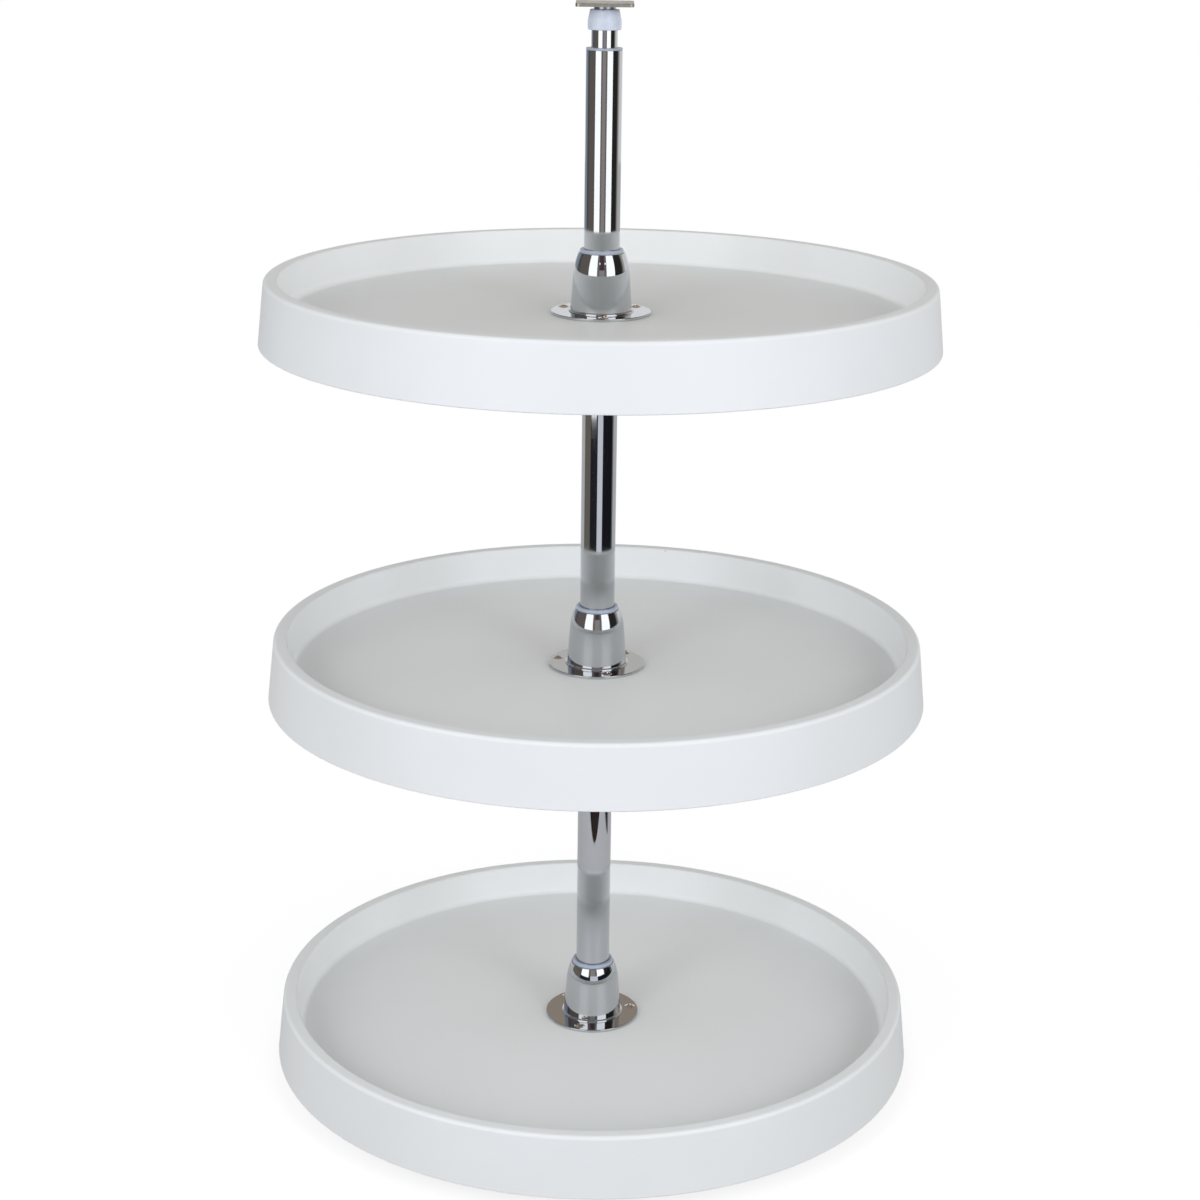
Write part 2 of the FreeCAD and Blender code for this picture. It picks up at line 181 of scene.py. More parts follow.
def mouldedNylon(name, look):
    # waxy and a little see-through, with soft highlights and faint flow clouds
    wax = {
        "cloudDetail": 3.0, "smoother": 0.06, "duller": 0.08, "ior": 1.53,
        "glow": 0.35, "glowReach": 1.5, "glowTint": (1.0, 1.1, 1.3),
    }
    material, tree, shader, place = startMaterial(name)
    clouds = addNode(tree, "ShaderNodeTexNoise",
                     {"Scale": 1000 / look["cloudSize"], "Detail": wax["cloudDetail"]}, {"Vector": place})
    colour = addNode(tree, "ShaderNodeMix",
                     {"data_type": "RGBA", 6: toLinear(look["pale"]), 7: toLinear(look["deep"])},
                     {0: clouds.outputs["Fac"]})
    smooth = look["gloss"] - wax["smoother"]
    dull = look["gloss"] + wax["duller"]
    roughness = addNode(tree, "ShaderNodeMapRange", {"To Min": smooth, "To Max": dull},
                        {"Value": clouds.outputs["Fac"]})
    skin = addNode(tree, "ShaderNodeTexNoise", {"Scale": 1000 / look["bumpSize"]}, {"Vector": place})
    bump = addNode(tree, "ShaderNodeBump", {"Strength": 1.0, "Distance": look["bumpDepth"] * mm},
                   {"Height": skin.outputs["Fac"]})
    connect(tree, shader, colour, roughness, bump)
    shader.inputs["Subsurface Weight"].default_value = wax["glow"]
    shader.inputs["Subsurface Radius"].default_value = wax["glowTint"]
    shader.inputs["Subsurface Scale"].default_value = wax["glowReach"] * mm
    shader.inputs["IOR"].default_value = wax["ior"]
    return material


def workedSteel(name, look):
    # small steel parts: blotches in the plating, tool lines along one way, brighter rubbed edges
    blend = {
        "blotchDetail": 4.0, "lineDetail": 2.0, "wearStart": 0.53, "wearEnd": 0.62,
        "smoother": 0.08, "rougher": 0.1,
    }
    material, tree, shader, place = startMaterial(name)
    blotch = addNode(tree, "ShaderNodeTexNoise",
                     {"Scale": 1000 / look["blotchSize"], "Detail": blend["blotchDetail"]}, {"Vector": place})
    tone = addNode(tree, "ShaderNodeMix",
                   {"data_type": "RGBA", 6: toLinear(look["light"]), 7: toLinear(look["dark"])},
                   {0: blotch.outputs["Fac"]})
    edges = addNode(tree, "ShaderNodeNewGeometry", {}, {})
    wear = addNode(tree, "ShaderNodeMapRange", {"From Min": blend["wearStart"], "From Max": blend["wearEnd"]},
                   {"Value": edges.outputs["Pointiness"]})
    colour = addNode(tree, "ShaderNodeMix", {"data_type": "RGBA", 7: toLinear(look["edge"])},
                     {0: wear.outputs[0], 6: tone.outputs[2]})
    smooth = look["roughness"] - blend["smoother"]
    rough = look["roughness"] + blend["rougher"]
    roughness = addNode(tree, "ShaderNodeMapRange", {"To Min": smooth, "To Max": rough},
                        {"Value": blotch.outputs["Fac"]})
    stretch = addNode(tree, "ShaderNodeMapping", {"Scale": look["lineStretch"]}, {"Vector": place})
    lines = addNode(tree, "ShaderNodeTexNoise",
                    {"Scale": 1000 / look["lineSpacing"], "Detail": blend["lineDetail"]},
                    {"Vector": stretch.outputs["Vector"]})
    bump = addNode(tree, "ShaderNodeBump", {"Strength": 1.0, "Distance": look["lineDepth"] * mm},
                   {"Height": lines.outputs["Fac"]})
    connect(tree, shader, colour, roughness, bump)
    shader.inputs["Metallic"].default_value = 1.0
    return material


polystyrene = mouldedPolystyrene()
chrome = chromePlate()
nylon = mouldedNylon("mouldedNylon", {
    # natural nylon, which looks bluish where light shines through it
    "pale": "#DFE4ED", "deep": "#C9D1E0", "cloudSize": 6,
    "bumpSize": 1.6, "bumpDepth": 0.02, "gloss": 0.28})
shadedNylon = mouldedNylon("shadedNylon", {
    # the same nylon in a darker copy, a painted shade for the hub rings and the guide ring
    "pale": "#B4BCCA", "deep": "#9AA4B4", "cloudSize": 3,
    "bumpSize": 1.2, "bumpDepth": 0.03, "gloss": 0.3})
zincPlate = workedSteel("zincPlatedSheet", {
    # cold-rolled sheet, zinc plated: grey-beige with rolling lines
    "light": "#C4C3BC", "dark": "#ABA9A1", "edge": "#D8D8D4", "blotchSize": 9, "roughness": 0.36,
    "lineStretch": (0.05, 1.0, 1.0), "lineSpacing": 0.5, "lineDepth": 0.004})
shadedTurnedSteel = workedSteel("shadedTurnedSteel", {
    # bright steel from the lathe with round tool lines, its grey tinted dark and cool as a painted shade for
    # the pin necks under the plates
    "light": "#98A2AE", "dark": "#7C8794", "edge": "#C2C6CB", "blotchSize": 5, "roughness": 0.3,
    "lineStretch": (0.05, 0.05, 1.0), "lineSpacing": 0.4, "lineDepth": 0.003})
yellowZinc = workedSteel("yellowPassivatedZinc", {
    # yellow-passivated screws: a pale pinkish gold that turns grey where a driver rubs
    "light": "#EDE3DA", "dark": "#D2C2B4", "edge": "#F2EEEA", "blotchSize": 2.5, "roughness": 0.14,
    "lineStretch": (1.0, 1.0, 1.0), "lineSpacing": 0.9, "lineDepth": 0.012})
blackOxide = workedSteel("blackOxideSteel", {
    # hardened set screws, blackened and oiled
    "light": "#3A3A3D", "dark": "#242427", "edge": "#77777A", "blotchSize": 2, "roughness": 0.38,
    "lineStretch": (1.0, 1.0, 1.0), "lineSpacing": 0.5, "lineDepth": 0.002})
print("materials made")


def sectionPoints(corners, arcStep):
    # a corner is (radius, height, rounding); the rounding becomes an arc of steps up to arcStep degrees
    points = [Vector((radius, height)) for radius, height, rounding in corners]
    section = []
    for index, (radius, height, rounding) in enumerate(corners):
        corner = points[index]
        if rounding == 0:
            section.append(corner)
            continue
        back = (points[index - 1] - corner).normalized()
        ahead = (points[(index + 1) % len(points)] - corner).normalized()
        half = back.angle(ahead) / 2
        centre = corner + (back + ahead).normalized() * rounding / math.sin(half)
        start = corner + back * rounding / math.tan(half) - centre
        end = corner + ahead * rounding / math.tan(half) - centre
        sweep = start.angle(end)
        steps = max(2, math.ceil(math.degrees(sweep) / arcStep))
        for step in range(steps + 1):
            share = step / steps
            spoke = start * math.sin((1 - share) * sweep) + end * math.sin(share * sweep)
            section.append(centre + spoke / math.sin(sweep))
    return section


def turnSection(corners, segments, arcStep=12):
    # turns a closed section about the Z axis; a point on the axis stays one vertex
    mesh = bmesh.new()
    rings = []
    for point in sectionPoints(corners, arcStep):
        if point.x == 0:
            rings.append([mesh.verts.new((0, 0, point.y * mm))] * segments)
            continue
        angles = [2 * math.pi * step / segments for step in range(segments)]
        rings.append([
            mesh.verts.new((point.x * mm * math.cos(a), point.x * mm * math.sin(a), point.y * mm))
            for a in angles])
    for ring, nextRing in zip(rings, rings[1:] + rings[:1]):
        if ring[0] is ring[1] and nextRing[0] is nextRing[1]:
            continue
        for step in range(segments):
            loop = [ring[step - 1], ring[step], nextRing[step], nextRing[step - 1]]
            mesh.faces.new(list(dict.fromkeys(loop)))
    bmesh.ops.recalc_face_normals(mesh, faces=mesh.faces)
    return mesh


def boxInto(mesh, low, high, turn=0.0):
    # adds a box between two corners in mm, turned about the Z axis by some degrees
    middle = [(a + b) / 2 * mm for a, b in zip(low, high)]
    size = [(b - a) * mm for a, b in zip(low, high)]
    place = Matrix.Rotation(math.radians(turn), 4, "Z") @ Matrix.Translation(middle)
    bmesh.ops.create_cube(mesh, size=1.0, matrix=place @ Matrix.Diagonal(size + [1.0]))


def rodInto(mesh, radius, bottom, top, reach=0.0, turn=0.0, segments=48, topRadius=None):
    # adds an upright rod or cone whose axis stands at some reach from the Z axis
    middle = Matrix.Translation((reach * mm, 0, (bottom + top) / 2 * mm))
    place = Matrix.Rotation(math.radians(turn), 4, "Z") @ middle
    upper = radius if topRadius is None else topRadius
    bmesh.ops.create_cone(mesh, cap_ends=True, segments=segments, radius1=radius * mm, radius2=upper * mm,
                          depth=(top - bottom) * mm, matrix=place)


def carve(base, tool, operation):
    # joins a tool to a base, or cuts it away, and gives one clean mesh back
    bodies = []
    for part in (base, tool):
        data = bpy.data.meshes.new("carving")
        part.to_mesh(data)
        part.free()
        bodies.append(bpy.data.objects.new("carving", data))
        scene.collection.objects.link(bodies[-1])
    change = bodies[0].modifiers.new("carve", "BOOLEAN")
    change.operation = operation
    change.solver = "EXACT"
    change.use_self = True
    change.object = bodies[1]
    carved = bmesh.new()
    carved.from_object(bodies[0], bpy.context.evaluated_depsgraph_get())
    for body in bodies:
        data = body.data
        bpy.data.objects.remove(body)
        bpy.data.meshes.remove(data)
    return carved


def makePiece(name, mesh, node, material, level=0.0, turn=0.0):
    # places a copy of a mesh where its CAD node is, shades it and ties it to the node's body
    data = bpy.data.meshes.new(name)
    mesh.to_mesh(data)
    data.transform(Matrix.Translation((0, 0, level)) @ Matrix.Rotation(math.radians(turn), 4, "Z"))
    data.shade_smooth()
    data.set_sharp_from_angle(angle=math.radians(35))
    data.materials.append(material)
    piece = bpy.data.objects.new(name, data)
    scene.collection.objects.link(piece)
    piece.modifiers.new("evenNormals", "WEIGHTED_NORMAL").keep_sharp = True
    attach(piece, frame["nodes"][node]["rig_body"])
    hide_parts(node)
    return piece


def bottomOf(node):
    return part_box(node)[0].z


trayTurns = {"lower": -108.8, "middle": -75.3, "upper": -86.5}  # where each front screw points, in degrees
pole = {"radius": 13.3, "wall": 1.6, "edge": 0.3, "fit": 0.05}
screw = {
    "count": 3, "reach": 31.3, "radius": 1.9, "head": 4.1, "headGap": 0.12, "dome": 1.1, "domeSteps": 6,
    "length": 12.0, "recessWidth": 1.15, "recessLength": 4.6, "recessDepth": 1.5, "recessTurns": (20, 110),
    "coneTop": 1.75, "coneBottom": 0.7, "coneBelow": 0.4, "coneAbove": 0.1,
}
overcut = 1  # how far a cutting tool stands past what it cuts


def trayMesh():
    size = {
        "radius": 253.98, "height": 47.5, "floor": 20.3, "floorThickness": 3.2, "wall": 2.8,
        "skirtLean": 5.1, "rimWidth": 10.4, "rimLean": 3.1, "rimOuterRound": 3.2, "rimInnerRound": 1.6,
        "floorRound": 4.0, "skirtEdgeRound": 0.7, "ribs": 12, "ribThickness": 2.0, "ribDepth": 6.0,
        "ringRibs": 2, "innerRing": 42.0, "seatRadius": 24.0, "seatThickness": 6.0, "holeGap": 1.5,
        "bossRadius": 5.5, "bossLength": 12.0, "ejectorRadius": 4.5, "ejectorHeight": 0.3,
    }
    outer = size["radius"] - size["skirtLean"]
    inner = outer - size["rimWidth"]
    floorRadius = inner - size["rimLean"]
    underside = size["floor"] - size["floorThickness"]
    crest = size["height"] - size["wall"]
    hole = pole["radius"] + size["holeGap"]
    seat = size["floor"] - size["seatThickness"]
    shell = turnSection([
        (hole, size["floor"], 0),
        (floorRadius, size["floor"], size["floorRound"]),
        (inner, size["height"], size["rimInnerRound"]),
        (outer, size["height"], size["rimOuterRound"]),
        (size["radius"], 0, size["skirtEdgeRound"]),
        (size["radius"] - size["wall"], 0, size["skirtEdgeRound"]),
        (outer - size["wall"], crest, 0),
        (inner + size["wall"], crest, 0),
        (floorRadius + size["wall"], underside, 0),
        (size["seatRadius"], underside, 0),
        (size["seatRadius"], seat, 0),
        (hole, seat, 0),
    ], 288)
    ribs = bmesh.new()
    ribBottom = underside - size["ribDepth"]
    ribTop = underside + size["floorThickness"] / 2
    skirtInside = size["radius"] - size["wall"] - size["skirtLean"] * underside / size["height"]
    for index in range(size["ribs"]):
        low = (size["innerRing"], -size["ribThickness"] / 2, ribBottom)
        high = (skirtInside + size["wall"] / 2, size["ribThickness"] / 2, ribTop)
        boxInto(ribs, low, high, 360 * index / size["ribs"])
    shell = carve(shell, ribs, "UNION")
    spacing = (floorRadius - size["innerRing"]) / size["ringRibs"]
    for index in range(size["ringRibs"]):
        radius = size["innerRing"] + spacing * index
        half = size["ribThickness"] / 2
        ring = turnSection([
            (radius - half, ribBottom, 0), (radius + half, ribBottom, 0),
            (radius + half, ribTop, 0), (radius - half, ribTop, 0)], 144)
        shell = carve(shell, ring, "UNION")
    studs = bmesh.new()
    for index in range(screw["count"]):
        turn = 360 * index / screw["count"]
        rodInto(studs, size["bossRadius"], size["floor"] - size["bossLength"], ribTop, screw["reach"], turn)
    for index in range(size["ribs"]):
        turn = 360 * (index + 0.5) / size["ribs"]
        for reach in (size["innerRing"] + spacing / 2, size["innerRing"] + spacing * 3 / 2):
            low = underside - size["ejectorHeight"]
            rodInto(studs, size["ejectorRadius"], low, ribTop, reach, turn, 32)
    return carve(shell, studs, "UNION")


hub = {
    "flangeRadius": 37.5, "flangeThickness": 2.2, "edgeRound": 0.55, "underRound": 0.2,
    "foot": 24.4, "footLean": 1.3, "footHeight": 1.5,
    "bead": 0.8, "beadRound": 0.8, "footTopRound": 0.5, "step": 0.15, "lean": 2.55, "shoulder": 36.15,
    "shoulderRound": 46.0, "crownLean": 3.25, "crownRound": 0.8, "height": 43.8, "wall": 2.2,
}
bushing = {"wall": 2.5, "length": 26.0, "lip": 2.3, "lipReach": 0.4, "boreRound": 0.4}
bellRadius = hub["foot"] - hub["footLean"] - hub["step"]
shoulderRadius = bellRadius - hub["lean"]
crownRadius = shoulderRadius - hub["crownLean"]
bushingRadius = pole["radius"] + pole["fit"] + bushing["wall"]


def hubMesh():
    # heights are above the flange's top face
    bell = turnSection([
        (bellRadius - hub["wall"], -hub["flangeThickness"], 0),
        (hub["flangeRadius"], -hub["flangeThickness"], hub["underRound"]),
        (hub["flangeRadius"], 0, hub["edgeRound"]),
        (hub["foot"], 0, 0),
        (hub["foot"], hub["bead"], hub["beadRound"]),
        (hub["foot"] - hub["footLean"], hub["footHeight"], hub["footTopRound"]),
        (bellRadius, hub["footHeight"], 0),
        (shoulderRadius, hub["shoulder"], hub["shoulderRound"]),
        (crownRadius, hub["height"], hub["crownRound"]),
        (bushingRadius, hub["height"], 0),
        (bushingRadius, hub["height"] - hub["wall"], 0),
        (shoulderRadius - hub["wall"], hub["shoulder"] - hub["wall"], 0),
    ], 192, 2)
    bottom = -hub["flangeThickness"]
    turns = [360 * index / screw["count"] for index in range(screw["count"])]
    holes = bmesh.new()
    for turn in turns:
        rodInto(holes, screw["radius"], bottom - overcut, overcut, screw["reach"], turn)
    bell = carve(bell, holes, "DIFFERENCE")
    slope = (screw["head"] - screw["radius"]) / hub["flangeThickness"]
    low = screw["radius"] + screw["headGap"]
    high = screw["head"] + screw["headGap"] + slope * overcut
    sinks = bmesh.new()
    for turn in turns:
        rodInto(sinks, low, bottom, overcut, screw["reach"], turn, topRadius=high)
    return carve(bell, sinks, "DIFFERENCE")


def bushingMesh():
    bore = pole["radius"] + pole["fit"]
    lipRadius = bushingRadius + bushing["lipReach"]
    return turnSection([
        (bore, hub["height"] - bushing["length"], 0),
        (bushingRadius, hub["height"] - bushing["length"], 0),
        (bushingRadius, hub["height"], 0),
        (lipRadius, hub["height"], 0),
        (lipRadius, hub["height"] + bushing["lip"], bushing["lip"] / 2),
        (bore, hub["height"] + bushing["lip"], bushing["boreRound"]),
    ], 128, 6)


def screwsMesh():
    # three raised countersunk screws with cross recesses; the dome's section is part of a circle
    sphere = (screw["head"] ** 2 + screw["dome"] ** 2) / (2 * screw["dome"])
    dome = []
    for step in range(screw["domeSteps"] + 1):
        radius = screw["head"] * (1 - step / screw["domeSteps"])
        dome.append((radius, screw["dome"] - sphere + math.sqrt(sphere ** 2 - radius ** 2), 0))
    head = turnSection([
        (0, -screw["length"], 0),
        (screw["radius"], -screw["length"] + screw["radius"], 0),
        (screw["radius"], -hub["flangeThickness"], 0),
    ] + dome, 48)
    cross = bmesh.new()
    depth = screw["dome"] - screw["recessDepth"]
    low = (-screw["recessLength"] / 2, -screw["recessWidth"] / 2, depth)
    high = (screw["recessLength"] / 2, screw["recessWidth"] / 2, screw["dome"] + overcut)
    for turn in screw["recessTurns"]:
        boxInto(cross, low, high, turn)
    head = carve(head, cross, "DIFFERENCE")
    # the steep cone in the middle of the cross is what catches the lamps
    cone = bmesh.new()
    rodInto(cone, screw["coneBottom"], depth - screw["coneBelow"], screw["dome"] + screw["coneAbove"],
            segments=24, topRadius=screw["coneTop"])
    head = carve(head, cone, "DIFFERENCE")
    data = bpy.data.meshes.new("screw")
    head.to_mesh(data)
    head.free()
    data.transform(Matrix.Translation((screw["reach"] * mm, 0, 0)))
    group = bmesh.new()
    for index in range(screw["count"]):
        group.from_mesh(data)
        data.transform(Matrix.Rotation(2 * math.pi / screw["count"], 4, "Z"))
    bpy.data.meshes.remove(data)
    return group


collar = {
    "wall": 7.7, "height": 11.0, "edge": 0.6, "screwRadius": 3.0, "inset": 0.5, "socket": 1.7,
    "socketDepth": 3.0, "tipRadius": 1.8, "tipLength": 1.0, "screwEdge": 0.3,
}
washer = {"thickness": 1.2, "lip": 1.0, "edge": 0.2}
collarRadius = pole["radius"] + pole["fit"] + collar["wall"]


def sideways(mesh, height):
    # lays an upright mesh along +X at some height
    turn = Matrix.Translation((0, 0, height * mm)) @ Matrix.Rotation(math.pi / 2, 4, "Y")
    bmesh.ops.transform(mesh, matrix=turn, verts=mesh.verts)
    return mesh


def collarMesh():
    bore = pole["radius"] + pole["fit"]
    ring = turnSection([
        (bore, 0, 0), (collarRadius, 0, collar["edge"]),
        (collarRadius, collar["height"], collar["edge"]), (bore, collar["height"], 0)], 128, 15)
    drill = bmesh.new()
    rodInto(drill, collar["screwRadius"], 0, collarRadius + overcut)
    return carve(ring, sideways(drill, collar["height"] / 2), "DIFFERENCE")


def setScrewMesh():
    start = pole["radius"] + pole["fit"]
    end = collarRadius - collar["inset"]
    body = turnSection([
        (0, start, 0), (collar["tipRadius"], start, 0),
        (collar["screwRadius"], start + collar["tipLength"], 0),
        (collar["screwRadius"], end, collar["screwEdge"]), (0, end, 0)], 48)
    socket = bmesh.new()
    rodInto(socket, collar["socket"], end - collar["socketDepth"], end + overcut, segments=6)
    return sideways(carve(body, socket, "DIFFERENCE"), collar["height"] / 2)


def washerMesh():
    bore = pole["radius"] + pole["fit"]
    edge = collarRadius + washer["lip"]
    return turnSection([
        (bore, 0, 0), (edge, 0, washer["edge"]),
        (edge, washer["thickness"], washer["edge"]), (bore, washer["thickness"], 0)], 128)


def makeTrays():
    # each row is a mesh, the end of its nodes' names, a material, and how far the mesh's own zero
    # stands above the bottom of the node
    setScrewRise = collar["screwRadius"] - collar["height"] / 2
    rows = {
        "Tray": (trayMesh(), "_tray", polystyrene, 0),
        "Hub": (hubMesh(), "_hub", chrome, hub["flangeThickness"]),
        "HubBushing": (bushingMesh(), "_hub_bushing", shadedNylon, bushing["length"] - hub["height"]),
        "HubScrews": (screwsMesh(), "_hub_screws", yellowZinc, screw["length"]),
        "SupportCollar": (collarMesh(), "_support_collar", zincPlate, 0),
        "SetScrew": (setScrewMesh(), "_set_screw", blackOxide, setScrewRise),
        "ThrustWasher": (washerMesh(), "_thrust_washer", nylon, 0),
    }
    for place, turn in trayTurns.items():
        for name, (mesh, node, material, rise) in rows.items():
            makePiece(place + name, mesh, place + node, material, bottomOf(place + node) + rise * mm, turn)
        print(place, "tray placed")
    for row in rows.values():
        row[0].free()


makeTrays()

tube = {"radius": 9.525, "wall": 1.2}
guide = {"lip": 1.5, "length": 25.0, "edge": 0.5}
plug = {"length": 22.0, "lip": 2.5, "edge": 0.6}
pin = {
    "radius": 4.0, "length": 26.0, "neck": 7.9, "tipRound": 0.8, "topNeck": 2.3, "bottomNeck": 2.0,
    "washer": 1.5, "washerEdge": 0.2,
}
cap = {
    "height": 14.4, "radius": 12.25, "taper": 1.6, "taperHeight": 8.0, "bottomRound": 0.9, "topRound": 1.2,
}
plate = {
    "side": 42.0, "thickness": 2.5, "corner": 3.0, "holeSpacing": 30.0, "holeRadius": 2.25, "edge": 0.35,
}


def ringMesh(inner, outer, bottom, top, edge, segments=128):
    section = [(inner, bottom, 0), (outer, bottom, edge), (outer, top, edge), (inner, top, 0)]
    return turnSection(section, segments)


def guideRingMesh():
    # heights are above the ring's lower end, inside the pole
    bore = tube["radius"] + pole["fit"]
    inside = pole["radius"] - pole["wall"]
    top = guide["length"] + guide["lip"]
    return turnSection([
        (bore, 0, 0), (inside, 0, 0), (inside, guide["length"], 0), (pole["radius"], guide["length"], 0),
        (pole["radius"], top, guide["edge"]), (bore, top, guide["edge"])], 128)


def bottomBushingMesh():
    bore = pin["radius"] + pole["fit"]
    inside = pole["radius"] - pole["wall"]
    top = plug["lip"] + plug["length"]
    return turnSection([
        (bore, 0, 0), (pole["radius"], 0, plug["edge"]), (pole["radius"], plug["lip"], 0),
        (inside, plug["lip"], 0), (inside, top, 0), (bore, top, 0)], 128)


def capMesh():
    # heights are above the plug's lower end, inside the inner tube
    bore = pin["radius"] + pole["fit"]
    inside = tube["radius"] - tube["wall"]
    seat = plug["length"]
    top = seat + cap["height"]
    return turnSection([
        (bore, 0, 0), (inside, 0, 0), (inside, seat, 0),
        (cap["radius"], seat, cap["bottomRound"]),
        (cap["radius"], top - cap["taperHeight"], cap["taperHeight"]),
        (cap["radius"] - cap["taper"], top, cap["topRound"]),
        (bore, top, 0)], 128, 5)


def pinMesh(neckHeight, pointsUp):
    # a pin with a wide neck; heights are above the neck's face on the plate, or below it
    way = 1 if pointsUp else -1
    tip = neckHeight + pin["length"]
    return turnSection([
        (0, 0, 0), (pin["neck"], 0, 0),
        (pin["neck"], way * neckHeight, 0), (pin["radius"], way * neckHeight, 0),
        (pin["radius"], way * tip, pin["tipRound"]), (0, way * tip, 0)], 64)


def plateMesh():
    half = plate["side"] / 2
    corners = [(half, -half), (half, half), (-half, half), (-half, -half)]
    outline = sectionPoints([corner + (plate["corner"],) for corner in corners], 9)
    mesh = bmesh.new()
    face = mesh.faces.new([mesh.verts.new((point.x * mm, point.y * mm, 0)) for point in outline])
    raised = bmesh.ops.extrude_face_region(mesh, geom=[face])
    lifted = [part for part in raised["geom"] if isinstance(part, bmesh.types.BMVert)]
    bmesh.ops.translate(mesh, verts=lifted, vec=(0, 0, plate["thickness"] * mm))
    bmesh.ops.recalc_face_normals(mesh, faces=mesh.faces)
    flat = [edge for edge in mesh.edges if abs(edge.verts[0].co.z - edge.verts[1].co.z) < 1e-6]
    bmesh.ops.bevel(mesh, geom=flat, offset=plate["edge"] * mm, segments=3, affect="EDGES", profile=0.5)
    holes = bmesh.new()
    reach = plate["holeSpacing"] / 2 * math.sqrt(2)
    for turn in (45, 135, 225, 315):
        rodInto(holes, plate["holeRadius"], -overcut, plate["thickness"] + overcut, reach, turn)
    return carve(mesh, holes, "DIFFERENCE")


def makePole():
    def lengthOf(node):
        low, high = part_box(node)
        return (high.z - low.z) / mm

    inside = pole["radius"] - pole["wall"]
    slimInside = tube["radius"] - tube["wall"]
    pinBore = pin["radius"] + pole["fit"]
    mainTube = ringMesh(inside, pole["radius"], 0, lengthOf("pole_tube"), pole["edge"], 192)
    slimTube = ringMesh(slimInside, tube["radius"], 0, lengthOf("inner_tube"), 0, 160)
    lowWasher = ringMesh(pinBore, pole["radius"], 0, pin["washer"], pin["washerEdge"])
    rows = [
        ("poleTube", mainTube, "pole_tube", chrome),
        ("innerTube", slimTube, "inner_tube", chrome),
        ("guideRing", guideRingMesh(), "guide_ring", shadedNylon),
        ("bottomBushing", bottomBushingMesh(), "bottom_bushing", nylon),
        ("topCap", capMesh(), "top_cap", nylon),
        ("bottomWasher", lowWasher, "bottom_washer", nylon),
        ("bottomPin", pinMesh(pin["bottomNeck"], True), "bottom_pin", shadedTurnedSteel),
        ("topPin", pinMesh(pin["topNeck"], False), "top_pin", shadedTurnedSteel),
        ("bottomPlate", plateMesh(), "bottom_plate", zincPlate),
        ("topPlate", plateMesh(), "top_plate", zincPlate),
    ]
    for name, mesh, node, material in rows:
        low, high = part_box(node)
        makePiece(name, mesh, node, material, high.z if name == "topPin" else low.z)
        mesh.free()
    for node, material in {"lock_plug": nylon, "lock_guide": nylon, "lock_cam": nylon,
                           "lock_washer": zincPlate, "lock_screw": zincPlate}.items():
        # hidden in the pole at rest, so these stay as they are with a real finish
        frame["nodes"][node].data.materials.clear()
        frame["nodes"][node].data.materials.append(material)
    print("pole made")


makePole()


def reflectionSheet(name, look):
    # a flat-lit paper or cloth that only mirrors can see; its colour is written as the chrome shows it
    plating, stepAngle = 0.6, 3
    material = bpy.data.materials.new(name)
    material.use_nodes = True
    tree = material.node_tree
    tree.nodes.clear()
    shown = [channel / plating for channel in toLinear(look["seen"])[:3]] + [1.0]
    glow = addNode(tree, "ShaderNodeEmission", {"Color": shown}, {})
    addNode(tree, "ShaderNodeOutputMaterial", {}, {"Surface": glow.outputs[0]})
    material.cycles.emission_sampling = "NONE"
    mesh = bmesh.new()
    steps = max(1, math.ceil((look["to"] - look["from"]) / stepAngle))
    columns = []
    for step in range(steps + 1):
        azimuth = math.radians(look["from"] + (look["to"] - look["from"]) * step / steps)
        column = []
        for reach, height in look["points"]:
            edge = reach(azimuth) if callable(reach) else reach
            column.append(mesh.verts.new((edge * math.sin(azimuth), -edge * math.cos(azimuth), height)))
        columns.append(column)
    for column, nextColumn in zip(columns, columns[1:]):
        for row in range(len(column) - 1):
            mesh.faces.new([column[row], nextColumn[row], nextColumn[row + 1], column[row + 1]])
    data = bpy.data.meshes.new(name)
    mesh.to_mesh(data)
    mesh.free()
    data.materials.append(material)
    sheet = bpy.data.objects.new(name, data)
    scene.collection.objects.link(sheet)
    sheet.visible_camera = False
    sheet.visible_diffuse = False
    sheet.visible_transmission = False
    sheet.visible_volume_scatter = False
    sheet.visible_shadow = False


